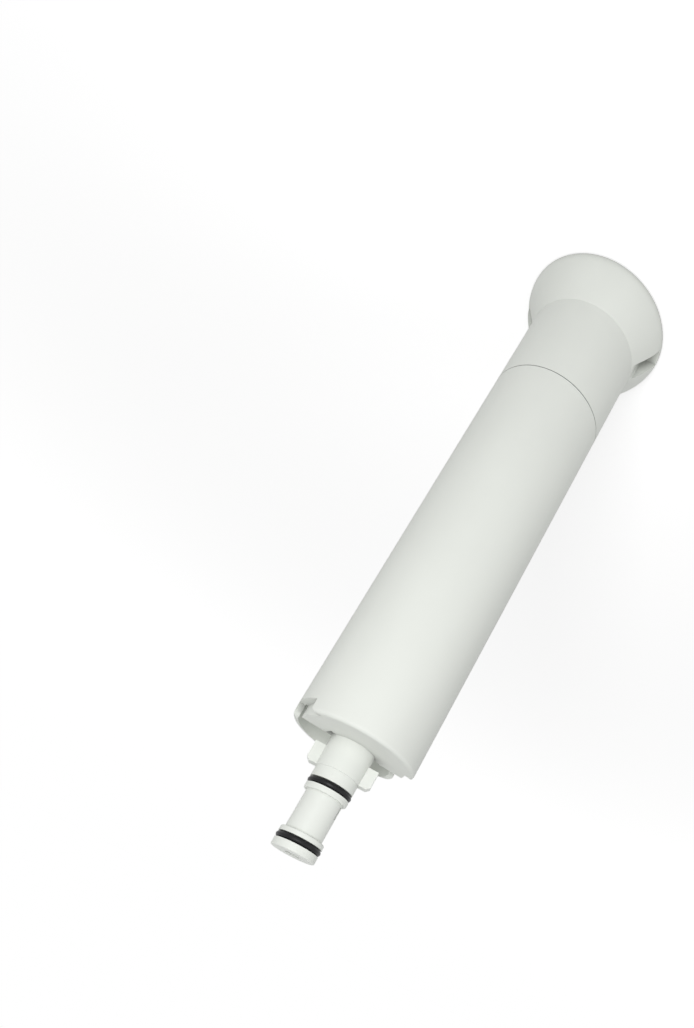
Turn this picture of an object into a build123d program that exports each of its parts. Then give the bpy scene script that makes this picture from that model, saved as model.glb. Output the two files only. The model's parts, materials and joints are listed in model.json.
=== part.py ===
from build123d import *
import os

# Water purifier filter cartridge: a long quarter-turn cartridge, standing on its flared handle.
# Millimetres. The origin is the centre of the flare's rim, +Z runs up to the spigot's tip.
# The two lugs lie along X. Slots, pocket and notches are turned from it by the angles below.

# Housing and handle
body_diameter = 50.0
body_length = 175.0
handle_length = 42.0
wall = 2.4
seam_gap = 0.4
end_round = 1.5

# Flare at the end of the handle
flare_height = 18.0
flare_overhang = 8.2
flare_band = 5.9
lip_width = 2.0
lip_round = 0.8
dish_depth = 19.0
dish_floor = 2.5
slot_width = 8.0
slot_margin = 0.3
slot_floor = 2.5
slot_corner = 0.8
slot_angle = 10.0

# Closed end of the housing, with a half-round pocket at the back and two notches in the rim
end_wall = 3.0
flange_ledge = 4.4
pocket_depth = 9.0
pocket_offset = 0.8
pocket_angle = 14.0
notch_width = 15.5
notch_depth = 5.0
notch_angle = 117.0
notch_round = 2.2
relief_width = 4.6
relief_reach = 2.4
relief_depth = 2.4
relief_angle = 335.0

# Spigot, from its tip down to the housing's end face
land_diameter = 17.0
stem_diameter = 14.4
neck_diameter = 17.9
tip_land = 3.0
groove_width = 2.7
lower_flange = 2.0
stem_length = 15.7
upper_flange = 2.2
seal_land = 4.5
neck_length = 12.2
edge_round = 0.5
step_round = 0.3

# Bayonet lugs on the neck
lug_reach = 3.9
lug_width = 5.0
lug_gap = 4.4
lug_chamfer = 1.2

# Water ways in the spigot
outlet_diameter = 5.6
throat_diameter = 5.0
inner_tube_wall = 1.2
inlet_gap = 1.0
port_width = 1.6
port_length = 5.0
port_rib = 1.4
port_drop = 0.9
connector_flange = 3.0
inner_spigot_length = 8.0

# Seals
o_ring_section = 2.4
o_ring_proud = 0.25
element_o_ring_section = 2.0

# Closure between housing and handle
closure_wall = 2.2
closure_web = 3.0
closure_in_handle = 10.0
closure_in_housing = 12.0
web_inset = 3.0
boss_diameter = 20.0
boss_wall = 2.0
boss_height = 3.0

# Filter element
water_gap = 2.3
core_diameter = 11.0
core_wall = 1.3
core_hole = 3.0
core_rows = 8
core_columns = 4
wrap_thickness = 2.0
cap_thickness = 2.5
cap_rim_wall = 1.6
cap_rim_height = 4.5
cap_pin_length = 2.4
collar_wall = 2.4
collar_seat = 1.0

# Clearances
weld_clearance = 0.1
glue_clearance = 0.1
seal_clearance = 0.05
neck_clearance = 0.15
spigot_clearance = 0.2
collar_clearance = 0.5
overrun = 1.0

# Heights and radii that follow from the sizes above
body_radius = body_diameter / 2
bore_radius = body_radius - wall
flare_radius = body_radius + flare_overhang
crease_z = flare_height
seam_z = crease_z + handle_length
end_z = seam_z + body_length
inner_end_z = end_z - pocket_depth - end_wall

land_radius = land_diameter / 2
stem_radius = stem_diameter / 2
neck_radius = neck_diameter / 2
lug_radius = neck_radius + lug_reach
ring_radius = land_radius + o_ring_proud - o_ring_section / 2
groove_radius = ring_radius - o_ring_section / 2 - seal_clearance
step_z = end_z + neck_length
upper_groove_z = step_z + seal_land
upper_flange_z = upper_groove_z + groove_width
stem_z = upper_flange_z + upper_flange
lower_flange_z = stem_z + stem_length
lower_groove_z = lower_flange_z + lower_flange
tip_land_z = lower_groove_z + groove_width
tip_z = tip_land_z + tip_land

outlet_radius = outlet_diameter / 2
throat_radius = throat_diameter / 2
inner_tube_radius = outlet_radius + inner_tube_wall
inlet_radius = inner_tube_radius + inlet_gap
port_z = stem_z + port_drop
flange_z = inner_end_z - connector_flange
inner_spigot_z = flange_z - inner_spigot_length

closure_radius = bore_radius - weld_clearance
closure_bore = closure_radius - closure_wall
closure_top_z = seam_z + closure_in_housing
web_top_z = closure_top_z - web_inset
boss_radius = boss_diameter / 2
boss_bore = boss_radius - boss_wall

cap_radius = bore_radius - water_gap
cap_rim_bore = cap_radius - cap_rim_wall
wrap_radius = cap_rim_bore - glue_clearance
block_radius = wrap_radius - wrap_thickness - glue_clearance
core_radius = core_diameter / 2
seal_bore = inner_tube_radius + element_o_ring_section + 2 * seal_clearance
collar_radius = seal_bore + collar_wall
collar_top_z = flange_z - collar_clearance
closed_cap_z = web_top_z + boss_height
block_z = closed_cap_z + cap_thickness
collar_seat_z = inner_spigot_z + inner_spigot_length / 2
block_top_z = collar_seat_z - collar_seat - cap_thickness


# Building blocks
def rod(radius, low, high):
    """A round bar on the Z axis between two heights."""
    bar = Cylinder(radius, high - low, align=(Align.CENTER, Align.CENTER, Align.MIN))
    return Pos(0, 0, low) * bar


def tube(outer, inner, low, high):
    """A round tube on the Z axis between two heights."""
    return rod(outer, low, high) - rod(inner, low, high)


def block(x_span, y_span, z_span):
    """A box between two limits on each axis."""
    size = [span[1] - span[0] for span in (x_span, y_span, z_span)]
    middle = [(span[1] + span[0]) / 2 for span in (x_span, y_span, z_span)]
    return Pos(*middle) * Box(*size)


def turned(outline, rounds=()):
    """The solid of an outline of (radius, height) points, with the named corners rounded."""
    face = make_face(Polyline(*outline, close=True))
    for corner, radius in rounds:
        vertex = face.vertices().sort_by_distance((corner[0], corner[1], 0))[0]
        face = fillet(vertex, radius)
    return revolve(Plane.XZ * face, axis=Axis.Z)


# Handle cap: a straight shell with a dished flare and a grip slot in each side of the flare
def handle_cap():
    with BuildPart() as bell:
        with BuildSketch(Plane.XZ):
            with BuildLine():
                skin = Bezier((body_radius, crease_z), (flare_radius, flare_band), (flare_radius, lip_round))
                lip = JernArc(skin @ 1, skin % 1, lip_round, -90)
                Polyline(
                    lip @ 1,
                    (0, 0),
                    (0, dish_depth + dish_floor),
                    (bore_radius, dish_depth + dish_floor),
                    (bore_radius, seam_z - seam_gap),
                    (body_radius, seam_z - seam_gap),
                    skin @ 0,
                )
            make_face()
        revolve(axis=Axis.Z)
    dish = handle_dish()
    cap = bell.part
    for side in (0, 180):
        dish -= Rot(0, 0, slot_angle + side) * grip_slot(wall, 0)
        cap -= Rot(0, 0, slot_angle + side) * grip_slot(0, slot_floor)
    return cap - dish


def handle_dish():
    """The hollow under the flare, as a solid."""
    lip_radius = flare_radius - lip_width
    with BuildPart() as dish:
        with BuildSketch(Plane.XZ):
            with BuildLine():
                side = Bezier((lip_radius, 0), (lip_radius, flare_band), (bore_radius, dish_depth))
                Polyline(side @ 1, (0, dish_depth), (0, 0), side @ 0)
            make_face()
        revolve(axis=Axis.Z)
    return dish.part


def grip_slot(margin, floor):
    """A slot cut inwards through the flare above a floor, made wider all round by a margin."""
    start = body_radius + slot_margin - margin
    half = slot_width / 2 + margin
    slot = block((start, flare_radius + overrun), (-half, half), (floor, crease_z + overrun))
    return fillet(slot.edges().filter_by(Axis.Z), slot_corner)


# Housing: a tube with a closed end, flush at the front and pocketed at the back
def housing():
    end_edge = (body_radius, end_z)
    outline = [
        (body_radius, seam_z),
        end_edge,
        (0, end_z),
        (0, inner_end_z),
        (bore_radius, inner_end_z),
        (bore_radius, seam_z),
    ]
    shell = turned(outline, [(end_edge, end_round)])
    shell -= rod(neck_radius + neck_clearance, inner_end_z, end_z)
    pocket = rod(bore_radius, inner_end_z + end_wall, end_z)
    behind = block((-body_radius, body_radius), (pocket_offset, body_radius), (inner_end_z, end_z))
    shell -= pocket & (Rot(0, 0, -pocket_angle) * behind)
    shell -= Rot(0, 0, -pocket_angle) * front_core()
    for turn in (0, 180):
        shell -= Rot(0, 0, turn - notch_angle) * rim_notch()
        shell -= Rot(0, 0, turn + relief_angle) * neck_relief()
    return shell


def front_core():
    """The hollow under the front half of the end face, open to the inside of the housing."""
    boss_outer = neck_radius + neck_clearance + wall
    ring = tube(bore_radius - flange_ledge, boss_outer, inner_end_z, end_z - end_wall)
    front = block((-body_radius, body_radius), (-body_radius, pocket_offset - wall), (inner_end_z, end_z))
    return ring & front


def rim_notch():
    """A gap in the rim of the end, with the rim's corners rounded beside it."""
    gap = Pos(0, -notch_depth / 2) * Rectangle(notch_width, notch_depth)
    mouth = Pos(0, notch_round) * Rectangle(notch_width + 4 * notch_round, 2 * notch_round)
    outline = gap + mouth
    inside = notch_width / 2 + notch_round / 2
    corners = [v for v in outline.vertices() if abs(v.Y) < notch_round / 2 and abs(v.X) < inside]
    outline = fillet(corners, notch_round)
    across = Plane(origin=(0, 0, end_z), x_dir=(1, 0, 0), z_dir=(0, -1, 0))
    cut = extrude(across * outline, body_radius + overrun)
    keep = tube(body_radius + overrun, bore_radius - overrun, end_z - notch_depth, end_z + 2 * notch_round)
    return cut & keep


def neck_relief():
    """A small blind recess in the end wall beside the neck."""
    start = neck_radius
    depth = (end_z - relief_depth, end_z + overrun)
    return block((start, start + relief_reach), (-relief_width / 2, relief_width / 2), depth)


# Connector: flange, neck, lugs and the stem that carries two seals
def connector():
    outline = [
        (0, flange_z), (closure_radius, flange_z), (closure_radius, inner_end_z), (neck_radius, inner_end_z),
        (neck_radius, step_z), (land_radius, step_z), (land_radius, upper_groove_z),
        (groove_radius, upper_groove_z), (groove_radius, upper_flange_z),
        (land_radius, upper_flange_z), (land_radius, stem_z), (stem_radius, stem_z),
        (stem_radius, lower_flange_z), (land_radius, lower_flange_z), (land_radius, lower_groove_z),
        (groove_radius, lower_groove_z), (groove_radius, tip_land_z),
        (land_radius, tip_land_z), (land_radius, tip_z), (0, tip_z),
    ]
    rounded = [((land_radius, height), edge_round) for height in (stem_z, lower_flange_z, tip_z)]
    body = turned(outline, rounded + [((neck_radius, step_z), step_round)])
    for side in (0, 180):
        lug = block((0, lug_radius), (-lug_width / 2, lug_width / 2), (end_z + lug_gap, step_z))
        outer = lug.edges().filter_by(Axis.Y).group_by(Axis.X)[-1].sort_by(Axis.Z)[-1]
        lug = chamfer(outer, lug_chamfer)
        body += Rot(0, 0, side) * lug
    body -= rod(inlet_radius, flange_z, port_z + port_length)
    body += rod(inner_tube_radius, inner_spigot_z, port_z + port_length)
    body -= rod(throat_radius, inner_spigot_z, tip_z)
    body -= rod(outlet_radius, end_z, tip_z)
    port_pitch = port_width + port_rib
    for side in (0, 180):
        for shift in (-port_pitch / 2, port_pitch / 2):
            span = (shift - port_width / 2, shift + port_width / 2)
            port = block((inner_tube_radius, stem_radius + overrun), span, (port_z, port_z + port_length))
            body -= Rot(0, 0, side) * port
    return body


# Seals
def o_ring(radius, section, height):
    """A round seal of one section, centred at a height."""
    return Pos(0, 0, height) * Torus(radius, section / 2)


# Closure: a plug that ends the housing's bore and carries the handle on its skirt
def closure():
    skirt = tube(closure_radius, closure_bore, seam_z - closure_in_handle, closure_top_z)
    web = rod(closure_radius, web_top_z - closure_web, web_top_z)
    boss = tube(boss_radius, boss_bore, web_top_z, web_top_z + boss_height)
    return skirt + web + boss


# Filter element: core, block, wrap and the two glued caps
def core_tube():
    core = tube(core_radius, core_radius - core_wall, block_z, block_top_z)
    pitch = (block_top_z - block_z) / core_rows
    hole = Cylinder(core_hole / 2, 2 * core_diameter, rotation=(0, 90, 0))
    for row in range(core_rows):
        height = block_z + pitch * (row + 0.5)
        for column in range(core_columns // 2):
            turn = 360 / core_columns * (column + 0.5 * (row % 2))
            core -= Pos(0, 0, height) * Rot(0, 0, turn) * hole
    return core


def cap_cup(low, high, rim_low, rim_high):
    """A glued end cap: a disc with a rim that reaches over the wrap."""
    return rod(cap_radius, low, high) + tube(cap_radius, cap_rim_bore, rim_low, rim_high)


def closed_cap():
    cup = cap_cup(closed_cap_z, block_z, closed_cap_z, block_z + cap_rim_height)
    pin = rod(boss_bore - weld_clearance, closed_cap_z - cap_pin_length, closed_cap_z)
    return cup + pin


def open_cap():
    cap_top_z = block_top_z + cap_thickness
    cup = cap_cup(block_top_z, cap_top_z, block_top_z - cap_rim_height, cap_top_z)
    cup += rod(collar_radius, cap_top_z, collar_top_z)
    cup -= rod(seal_bore, collar_seat_z, collar_top_z)
    return cup - rod(inner_tube_radius + spigot_clearance, block_top_z, collar_seat_z)


upper_ring_z = upper_groove_z + groove_width / 2
lower_ring_z = lower_groove_z + groove_width / 2
element_ring_z = collar_seat_z + element_o_ring_section / 2 + seal_clearance
element_ring_radius = (inner_tube_radius + seal_bore) / 2

nodes = {
    "housing": housing(),
    "handle_cap": handle_cap(),
    "connector": connector(),
    "neck_o_ring": o_ring(ring_radius, o_ring_section, upper_ring_z),
    "tip_o_ring": o_ring(ring_radius, o_ring_section, lower_ring_z),
    "closure": closure(),
    "carbon_block": tube(block_radius, core_radius + glue_clearance, block_z, block_top_z),
    "prefilter_wrap": tube(wrap_radius, block_radius + glue_clearance, block_z, block_top_z),
    "core_tube": core_tube(),
    "closed_end_cap": closed_cap(),
    "open_end_cap": open_cap(),
    "element_o_ring": o_ring(element_ring_radius, element_o_ring_section, element_ring_z),
}

os.makedirs("parts", exist_ok=True)
for name, solid in nodes.items():
    export_step(solid, f"parts/{name}.step")
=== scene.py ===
# %% [markdown]
# # A water filter cartridge, dressed for its picture
#
# The cartridge is a long white tube with a flared handle at one end and a spigot with two ring seals at
# the other. Its solids come in as a fixed frame: every piece is already at its real size and in its
# place. This lesson gives each surface the finish that the real cartridge has, makes the two outer seals
# as new surfaces, and sets the light and the camera.

# %% Load the frame
import json
import math

import bpy
import numpy as np
from mathutils import Matrix, Vector


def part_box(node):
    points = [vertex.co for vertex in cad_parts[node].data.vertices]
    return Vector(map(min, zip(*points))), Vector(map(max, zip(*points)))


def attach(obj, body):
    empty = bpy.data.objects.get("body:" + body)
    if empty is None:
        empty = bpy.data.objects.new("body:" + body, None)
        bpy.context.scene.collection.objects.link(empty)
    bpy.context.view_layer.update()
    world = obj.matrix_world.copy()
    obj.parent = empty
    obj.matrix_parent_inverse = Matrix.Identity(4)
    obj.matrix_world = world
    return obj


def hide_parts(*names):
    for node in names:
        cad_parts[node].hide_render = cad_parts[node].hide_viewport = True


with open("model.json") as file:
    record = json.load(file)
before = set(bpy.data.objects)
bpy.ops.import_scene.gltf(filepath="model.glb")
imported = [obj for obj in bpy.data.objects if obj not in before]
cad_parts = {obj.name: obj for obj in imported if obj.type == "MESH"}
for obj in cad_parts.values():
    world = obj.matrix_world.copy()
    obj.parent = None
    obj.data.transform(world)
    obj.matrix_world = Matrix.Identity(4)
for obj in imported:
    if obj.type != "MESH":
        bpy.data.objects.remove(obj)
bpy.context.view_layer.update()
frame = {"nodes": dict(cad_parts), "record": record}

nodes = frame["nodes"]
scene = bpy.context.scene
mm = 0.001
print("nodes:", ", ".join(sorted(nodes)))

# %% [markdown]
# ## Heights to work from
#
# The cartridge stands on its flared rim, with its axis along Z. Its heights could be typed in again, but
# the frame knows where each piece is, so they are read from it and stay true when a size changes.

# %% Read the heights
rim_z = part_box("handle_cap")[0].z
tip_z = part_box("connector")[1].z
middle = Vector((0, 0, (rim_z + tip_z) / 2))
print(f"rim at {rim_z / mm:.1f} mm, tip at {tip_z / mm:.1f} mm")

# %% [markdown]
# ## The camera
#
# The picture looks along the cartridge from its spigot, with the flared handle far away at the top right.
# The cartridge could be tipped over to lie that way, but its solids stay as they are, so the camera looks
# down on it and is rolled until the handle points to the upper right. The lens is shifted, which moves
# the cartridge within the picture without turning the camera.

# %% Helpers for things that have a place
def add_object(name, data):
    """An object that holds a mesh, a lamp or a camera, linked to the scene at the origin."""
    made = bpy.data.objects.new(name, data)
    scene.collection.objects.link(made)
    return made


def facing(place, aim):
    """The matrix of a lamp or camera: moved to its place and turned until its -Z axis points at its aim."""
    turn = (aim - place).to_track_quat("-Z", "Y").to_matrix().to_4x4()
    return Matrix.Translation(place) @ turn


# %% Place the camera
camera_place = Vector((-0.0247, -0.2820, 0.3114))
camera_aim = Vector((-0.0584, -0.0072, 0.2216))
camera_roll = math.radians(-153.89)
camera_lens = 39.94
camera_shift = (-0.2348, 0.3932)
camera_nearest = 0.01
sensor_width = 36.0

camera_data = bpy.data.cameras.new("camera")
camera_data.sensor_fit = "HORIZONTAL"
camera_data.sensor_width = sensor_width
camera_data.lens = camera_lens
camera_data.shift_x, camera_data.shift_y = camera_shift
camera_data.clip_start = camera_nearest
camera = add_object("camera", camera_data)
camera.matrix_world = facing(camera_place, camera_aim) @ Matrix.Rotation(camera_roll, 4, "Z")
scene.camera = camera
print(f"camera {camera_place.length:.3f} m from the origin, lens {camera_lens:.1f} mm")

# %% [markdown]
# ## The floor
#
# A product picture is taken on white paper, and a soft shadow says where the cartridge stands. The lamps
# could be turned up until the paper is white, but the white plastic would lose its shading. So the paper
# is a little grey, and a glow is added for the rays that show it and not for the rays that light other
# things. The glow is weaker near the cartridge, where the lamps brighten the paper, so the shadow stays.

# %% Node helpers
def link(tree, source, target):
    """Join two sockets of a node tree."""
    tree.links.new(source, target)


def add_node(tree, kind, values=None):
    """A new shader node of a kind, with the values of some of its inputs set by name."""
    made = tree.nodes.new("ShaderNode" + kind)
    for socket, value in (values or {}).items():
        made.inputs[socket].default_value = value
    return made


def calculated(tree, operation, one, other, clamp=False):
    """The sum or product of two values, kept between 0 and 1 if it is clamped."""
    made = add_node(tree, "Math")
    made.operation = operation
    made.use_clamp = clamp
    link(tree, one, made.inputs[0])
    link(tree, other, made.inputs[1])
    return made.outputs[0]


def object_place(tree):
    """The place of a point in its object's own coordinates, in metres."""
    return add_node(tree, "TexCoord").outputs["Object"]


def seen_directly(tree):
    """A value of 1 for rays that show a surface (camera, glossy, transmission), and 0 for rays that only
    light one."""
    path = add_node(tree, "LightPath")
    shown = calculated(tree, "ADD", path.outputs["Is Camera Ray"], path.outputs["Is Glossy Ray"])
    return calculated(tree, "ADD", shown, path.outputs["Is Transmission Ray"], clamp=True)


# %% Floor
floor_half = 12.0
floor_drop = 0.2 * mm
floor_albedo = 0.72
glow_near, glow_far = 0.51, 0.625
glow_start, glow_end = 0.15, 0.9


def floor_paper():
    """Matt paper plus a glow that grows from glow_near to glow_far with the distance from the origin, by a
    smooth step between glow_start and glow_end."""
    finish = bpy.data.materials.new("floor_paper")
    finish.use_nodes = True
    tree = finish.node_tree
    tree.nodes.clear()
    paper = add_node(tree, "BsdfDiffuse", {"Color": (floor_albedo, floor_albedo, floor_albedo, 1)})
    distance = add_node(tree, "VectorMath")
    distance.operation = "LENGTH"
    link(tree, object_place(tree), distance.inputs[0])
    ramp = add_node(tree, "MapRange", {
        "From Min": glow_start, "From Max": glow_end, "To Min": glow_near, "To Max": glow_far,
    })
    ramp.interpolation_type = "SMOOTHSTEP"
    link(tree, distance.outputs["Value"], ramp.inputs["Value"])
    glow = add_node(tree, "Emission")
    strength = calculated(tree, "MULTIPLY", seen_directly(tree), ramp.outputs["Result"])
    link(tree, strength, glow.inputs["Strength"])
    both = add_node(tree, "AddShader")
    link(tree, paper.outputs[0], both.inputs[0])
    link(tree, glow.outputs[0], both.inputs[1])
    link(tree, both.outputs[0], add_node(tree, "OutputMaterial").inputs["Surface"])
    return finish


floor_mesh = bpy.data.meshes.new("floor")
corners = np.array([(-1, -1, 0), (1, -1, 0), (1, 1, 0), (-1, 1, 0)], float) * floor_half
corners[:, 2] = rim_z - floor_drop
floor_mesh.from_pydata(corners.tolist(), [], [(0, 1, 2, 3)])
floor_mesh.materials.append(floor_paper())
floor = add_object("floor", floor_mesh)
print(f"floor {2 * floor_half:.0f} m wide, {floor_drop / mm:.1f} mm under the rim")

# %% [markdown]
# ## The air
#
# Light from all round fills the shadows, as in a white tent. A ring of lamps could give it, but an even
# world is smoother and quicker. It shows as white and lights with about half of that, so the plastic
# keeps its shading.

# %% World
world_level, world_seen = 0.52, 1.0

world = bpy.data.worlds.new("studio")
world.use_nodes = True
scene.world = world
tree = world.node_tree
tree.nodes.clear()
air = add_node(tree, "Background", {"Color": (1, 1, 1, 1)})
level = add_node(tree, "MapRange", {"To Min": world_level, "To Max": world_seen})
link(tree, seen_directly(tree), level.inputs["Value"])
link(tree, level.outputs["Result"], air.inputs["Strength"])
link(tree, air.outputs[0], add_node(tree, "OutputWorld").inputs["Surface"])
print(f"world lights with {world_level} and shows {world_seen}")

# %% [markdown]
# ## The lamps
#
# One soft lamp stands close to the camera. It could be a far one, but a near one falls off towards the
# handle, and it leaves the end face, which looks upwards, a little darker. A weak, wide lamp fills the
# other side.

# %% Place the lamps
scene.view_settings.view_transform = "Standard"


def soft_lamp(name, direction, distance, width, height, power):
    """A rectangular lamp at a distance from the middle of the cartridge, facing it."""
    data = bpy.data.lights.new(name, "AREA")
    data.shape = "RECTANGLE"
    data.size = width
    data.size_y = height
    data.energy = power
    place = middle + Vector(direction).normalized() * distance
    add_object(name, data).matrix_world = facing(place, middle)
    print(f"lamp {name}: {power} W at {[round(c, 2) for c in place]}")


soft_lamp("key_lamp", direction=(0.05, -0.38, 0.20), distance=0.44, width=0.20, height=0.20, power=0.89)
soft_lamp("fill_lamp", direction=(-0.80, -0.50, 0.35), distance=1.6, width=0.6, height=1.2, power=1.9)

# %% [markdown]
# ## What the finishes are made of
#
# A moulded surface is never quite even: its tint, its gloss and its relief all vary a little. Pictures
# could be laid over the pieces, but they stretch and need to be unwrapped, so the finishes are worked out
# from noise. All of it reads Object coordinates, in metres, so that a grain has a real size.

# %% Finish helpers
def new_finish(name):
    """A material with one Principled shader; returns the material, its tree and the shader."""
    finish = bpy.data.materials.new(name)
    finish.use_nodes = True
    tree = finish.node_tree
    tree.nodes.clear()
    shader = add_node(tree, "BsdfPrincipled")
    link(tree, shader.outputs[0], add_node(tree, "OutputMaterial").inputs["Surface"])
    return finish, tree, shader


def cloud(tree, grain, stretch=(1, 1, 1), detail=2.0):
    """Noise with lumps of a given size in metres, longer along an axis whose stretch is above 1."""
    scale = add_node(tree, "Mapping", {"Scale": [1 / (grain * s) for s in stretch]})
    noise = add_node(tree, "TexNoise", {"Scale": 1.0, "Detail": detail})
    link(tree, object_place(tree), scale.inputs["Vector"])
    link(tree, scale.outputs["Vector"], noise.inputs["Vector"])
    return noise.outputs["Fac"]


def spread(tree, value, low, high, start=0.3, end=0.7):
    """Map a value between start and end to the range from low to high."""
    scale = add_node(tree, "MapRange", {"From Min": start, "From Max": end, "To Min": low, "To Max": high})
    link(tree, value, scale.inputs["Value"])
    return scale.outputs["Result"]


def tint(tree, value, one, other):
    """Blend two colours by a value from 0 to 1."""
    mix = add_node(tree, "Mix")
    mix.data_type = "RGBA"
    mix.inputs["A"].default_value = (*one, 1)
    mix.inputs["B"].default_value = (*other, 1)
    link(tree, value, mix.inputs["Factor"])
    return mix.outputs["Result"]


def raised(tree, height, depth, strength, under=None):
    """A bump of a given depth in metres, laid over an earlier bump where there is one."""
    bump = add_node(tree, "Bump", {"Distance": depth, "Strength": strength})
    link(tree, height, bump.inputs["Height"])
    if under is not None:
        link(tree, under, bump.inputs["Normal"])
    return bump.outputs["Normal"]


# %% [markdown]
# ## Painted shade in recesses
#
# The slots, the seam and the pocket of the real cartridge look grey, because they lie in shade. In a white
# recess the light bounces to and fro, so it would render paler than that. So the shade is painted into the
# colour: a darker tint could be painted in by hand, but the Ambient Occlusion node finds every hemmed-in
# place by itself, and the colour is darkened there.

# %% Painted shade helpers
painted_shade_samples = 8
painted_shade_closed, painted_shade_open = 0.2, 0.8


def painted_shade_in_recesses(tree, reach, low):
    """Painted shade: a value of 1 on open surfaces, which falls to a low value where walls nearer than the
    reach hem them in; the colour is multiplied by it, so shade is painted into recesses."""
    hemmed = add_node(tree, "AmbientOcclusion", {"Distance": reach})
    hemmed.samples = painted_shade_samples
    return spread(tree, hemmed.outputs["AO"], low, 1, painted_shade_closed, painted_shade_open)


def scaled(tree, colour, value):
    """A colour made darker by a value from 0 to 1."""
    product = add_node(tree, "VectorMath")
    product.operation = "SCALE"
    link(tree, colour, product.inputs[0])
    link(tree, value, product.inputs["Scale"])
    return product.outputs["Vector"]


# %% [markdown]
# ## Moulded plastic
#
# The housing and handle are satin polypropylene: almost white, with a fine spark-eroded grain from the
# mould, long faint flow streaks and a slight unevenness of gloss. Each plastic could have a material of
# its own from scratch, but they differ only in tint, gloss and grain, so one recipe makes them all. The
# spigot is smoother, because it slides into a socket, and a little whiter.

# %% Moulded plastic recipe
patch_size, patch_stretch = 18 * mm, (1, 1, 2.5)
streak_size, streak_stretch, streak_detail = 2.5 * mm, (1, 1, 14), 3.0
gloss_below, gloss_above = 0.04, 0.05
wave_size, wave_stretch, wave_detail = 9 * mm, (1, 1, 3), 1.0
wave_depth, wave_strength = 0.06 * mm, 0.25
grain_strength = 0.35
# reach of the painted shade in recesses
painted_shade_reach = 8 * mm
plastic_specular = 0.28
plastic_ior = 1.49


def moulded_plastic(name, colour, shade, gloss, grain, grain_depth, painted_recess_shade):
    """Near-white plastic: two close tints in soft patches, painted shade that darkens the colour in narrow
    recesses, streaks that vary the gloss, a shallow wave and a fine grain."""
    finish, tree, shader = new_finish(name)
    patches = spread(tree, cloud(tree, patch_size, patch_stretch), 0, 1)
    paint = tint(tree, patches, colour, [c * shade for c in colour])
    # painted shade: the colour is darkened where nearby walls hem the surface in
    shaded = scaled(tree, paint, painted_shade_in_recesses(tree, painted_shade_reach, painted_recess_shade))
    link(tree, shaded, shader.inputs["Base Color"])
    streaks = cloud(tree, streak_size, streak_stretch, streak_detail)
    roughness = spread(tree, streaks, gloss - gloss_below, gloss + gloss_above)
    link(tree, roughness, shader.inputs["Roughness"])
    wave = raised(tree, cloud(tree, wave_size, wave_stretch, wave_detail), wave_depth, wave_strength)
    relief = raised(tree, cloud(tree, grain), grain_depth, grain_strength, wave)
    link(tree, relief, shader.inputs["Normal"])
    shader.inputs["Specular IOR Level"].default_value = plastic_specular
    shader.inputs["IOR"].default_value = plastic_ior
    print(f"{name}: base {colour}, roughness about {gloss}")
    return finish


# %% Three plastics
# The recess shade of each plastic is painted shade: how far its colour darkens in the deepest recesses.
housing_plastic = moulded_plastic(
    "housing_plastic", colour=(0.805, 0.828, 0.782), shade=0.975, gloss=0.54,
    grain=0.35 * mm, grain_depth=0.012 * mm, painted_recess_shade=0.45,
)
connector_plastic = moulded_plastic(
    "connector_plastic", colour=(0.822, 0.846, 0.800), shade=0.985, gloss=0.40,
    grain=0.25 * mm, grain_depth=0.002 * mm, painted_recess_shade=0.75,
)
inner_plastic = moulded_plastic(
    "inner_plastic", colour=(0.80, 0.80, 0.78), shade=0.97, gloss=0.40,
    grain=0.3 * mm, grain_depth=0.008 * mm, painted_recess_shade=0.75,
)

# %% [markdown]
# ## Rubber
#
# The seals are black moulded rubber with a soft sheen and a faint bloom on it. One flat black could do,
# but patches in tint and gloss make the highlight on a thin ring look soft.

# %% Rubber recipe
rubber_black, rubber_bloom = (0.007, 0.007, 0.008), (0.013, 0.013, 0.014)
bloom_size = 1.6 * mm
sheen_size, sheen_smooth, sheen_rough = 0.7 * mm, 0.28, 0.42
rubber_grain, rubber_grain_depth, rubber_grain_strength = 0.12 * mm, 0.006 * mm, 0.4
rubber_specular = 0.22


def seal_rubber_finish():
    """Black rubber: faint bloom in patches, fine grain and a soft gloss."""
    finish, tree, shader = new_finish("seal_rubber")
    bloom = spread(tree, cloud(tree, bloom_size), 0, 1)
    link(tree, tint(tree, bloom, rubber_black, rubber_bloom), shader.inputs["Base Color"])
    sheen = spread(tree, cloud(tree, sheen_size), sheen_smooth, sheen_rough)
    link(tree, sheen, shader.inputs["Roughness"])
    relief = raised(tree, cloud(tree, rubber_grain), rubber_grain_depth, rubber_grain_strength)
    link(tree, relief, shader.inputs["Normal"])
    shader.inputs["Specular IOR Level"].default_value = rubber_specular
    print(f"seal_rubber: black {rubber_black}, roughness {sheen_smooth} to {sheen_rough}")
    return finish


# %% [markdown]
# ## Pressed carbon
#
# The filter block is coarse carbon grains pressed and baked into a tube. It is hidden in the whole
# cartridge and shows in a cutaway. Modelled grains would be millions of faces, so Voronoi cells give the
# grains, and the colour of each darkens towards its edge as painted shade for the pits between grains.

# %% Carbon recipe
carbon_grain = 0.5 * mm
carbon_core, carbon_edge = 0.1, 0.7
# the carbon pit colour is painted shade for the pits between grains
carbon_face, carbon_pit_painted_shade = (0.045, 0.045, 0.046), (0.012, 0.012, 0.012)
carbon_depth, carbon_strength = 0.2 * mm, 0.6
carbon_roughness = 0.85


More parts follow.
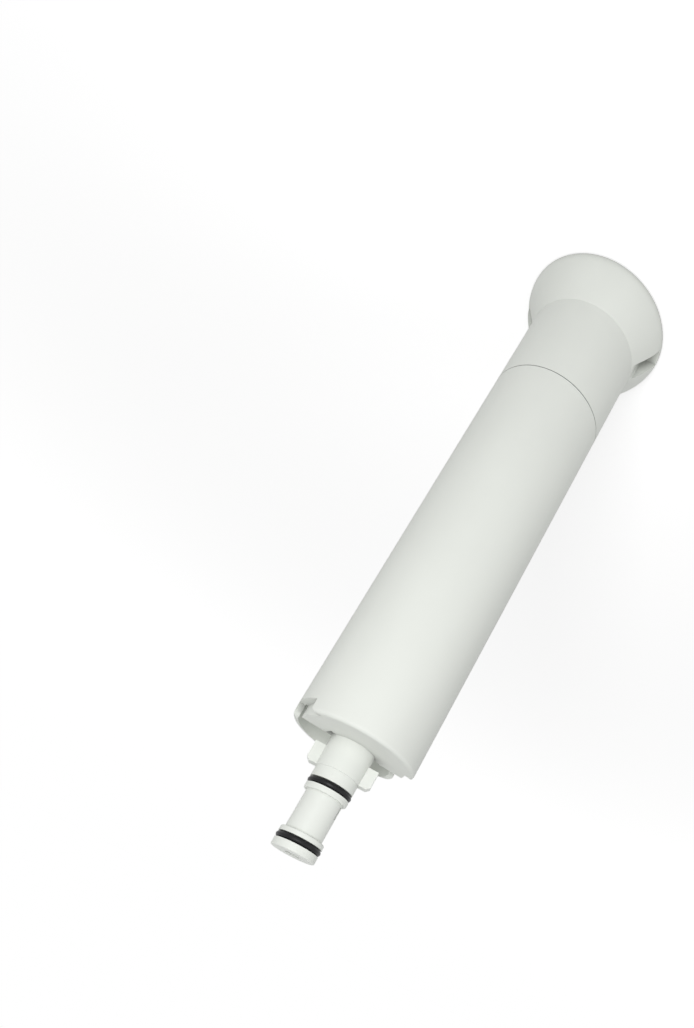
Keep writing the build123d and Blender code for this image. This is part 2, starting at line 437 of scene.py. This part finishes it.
def carbon_finish():
    """Pressed carbon: the colour darkens from the centre of each Voronoi cell towards its edge, painted
    shade for the pits between grains, and the bump of the same distance gives the relief of the grains."""
    finish, tree, shader = new_finish("carbon")
    grains = add_node(tree, "TexVoronoi", {"Scale": 1 / carbon_grain})
    link(tree, object_place(tree), grains.inputs["Vector"])
    # painted shade: the colour darkens towards the edges of the cells, where the pits between grains lie
    pit_painted_shade = spread(tree, grains.outputs["Distance"], 0, 1, carbon_core, carbon_edge)
    link(tree, tint(tree, pit_painted_shade, carbon_face, carbon_pit_painted_shade), shader.inputs["Base Color"])
    relief = raised(tree, grains.outputs["Distance"], carbon_depth, carbon_strength)
    link(tree, relief, shader.inputs["Normal"])
    shader.inputs["Roughness"].default_value = carbon_roughness
    print(f"carbon: grains of {carbon_grain / mm:.1f} mm")
    return finish


# %% [markdown]
# ## Fleece
#
# The wrap round the block is a felt of fine fibres that catches rust and sand. It too is hidden. Strands
# of hair would be slow, so noise that is stretched along the tube stands for the fibres.

# %% Fleece recipe
fibre_size, fibre_stretch, fibre_detail = 0.15 * mm, (1, 1, 9), 4.0
fibre_light, fibre_dark = (0.86, 0.86, 0.83), (0.74, 0.74, 0.71)
fibre_depth, fibre_strength = 0.1 * mm, 0.6
fibre_roughness = 0.9


def fleece_finish():
    """Felt of fine fibres: stretched noise in two tints with a soft nap."""
    finish, tree, shader = new_finish("fleece")
    fibres = cloud(tree, fibre_size, fibre_stretch, fibre_detail)
    paint = tint(tree, spread(tree, fibres, 0, 1), fibre_light, fibre_dark)
    link(tree, paint, shader.inputs["Base Color"])
    link(tree, raised(tree, fibres, fibre_depth, fibre_strength), shader.inputs["Normal"])
    shader.inputs["Roughness"].default_value = fibre_roughness
    print(f"fleece: fibres of {fibre_size / mm:.2f} mm")
    return finish


# %% [markdown]
# ## Finish the solids
#
# The cartridge has six materials on its twelve pieces. They could be put on piece by piece, but each row
# of the record already says which material slot a node has, so one loop puts the finishes on by that
# name.

# %% Put the finishes on the solids
finishes = {
    "housing_plastic": housing_plastic,
    "connector_plastic": connector_plastic,
    "inner_plastic": inner_plastic,
    "seal_rubber": seal_rubber_finish(),
    "carbon": carbon_finish(),
    "fleece": fleece_finish(),
}
for row in frame["record"]["subparts"]:
    slots = nodes[row["node"]].data.materials
    slots.clear()
    slots.append(finishes[row["material_slot"]])

# %% [markdown]
# ## The ring seals
#
# A moulded ring has a thin flash line where the two halves of its mould met. A ready-made torus has no
# such line, so the ring is worked out from two angles: one goes round the axis and one round the section.

# %% Seal rings
round_steps, section_steps = 192, 96
flash_height, flash_width = 0.05 * mm, 0.10


def ring_mesh(name, points, finish):
    """A closed mesh from an array of points (rows, columns, 3) whose rows and columns both wrap round."""
    rows, columns = points.shape[:2]
    index = np.arange(rows * columns).reshape(rows, columns)
    right = np.roll(index, -1, axis=1)
    quads = np.stack([index, right, np.roll(right, -1, axis=0), np.roll(index, -1, axis=0)], axis=-1)
    mesh = bpy.data.meshes.new(name)
    mesh.from_pydata(points.reshape(-1, 3).tolist(), [], quads.reshape(-1, 4).tolist())
    mesh.polygons.foreach_set("use_smooth", np.ones(rows * columns, bool))
    mesh.materials.append(finish)
    return mesh


def seal_ring(name, node):
    """A torus in the box of its node: distance from the axis = ring + radius * cos(b) and height = centre +
    radius * sin(b), where the radius grows by the flash in a narrow band round b = 0 and b = 180 degrees."""
    low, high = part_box(node)
    section = (high.z - low.z) / 2
    ring = high.x - section
    centre = (high.z + low.z) / 2
    around = np.linspace(0, 2 * np.pi, round_steps, endpoint=False)[:, None]
    about = np.linspace(0, 2 * np.pi, section_steps, endpoint=False)[None, :]
    ridge = np.exp(-(np.sin(about) / flash_width) ** 2)
    radius = section - flash_height + flash_height * ridge
    reach = ring + radius * np.cos(about)
    points = np.stack([
        reach * np.cos(around),
        reach * np.sin(around),
        centre + radius * np.sin(about) + 0 * around,
    ], axis=-1)
    piece = add_object(name, ring_mesh(name, points, finishes["seal_rubber"]))
    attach(piece, "root")
    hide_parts(node)
    print(f"{name}: ring radius {ring / mm:.2f} mm, section {2 * section / mm:.2f} mm")


seal_ring("neck_seal", "neck_o_ring")
seal_ring("tip_seal", "tip_o_ring")

# %% [markdown]
# ## The sizes stay
#
# A finish must not change the size of the cartridge.


print("cartridge dressed")
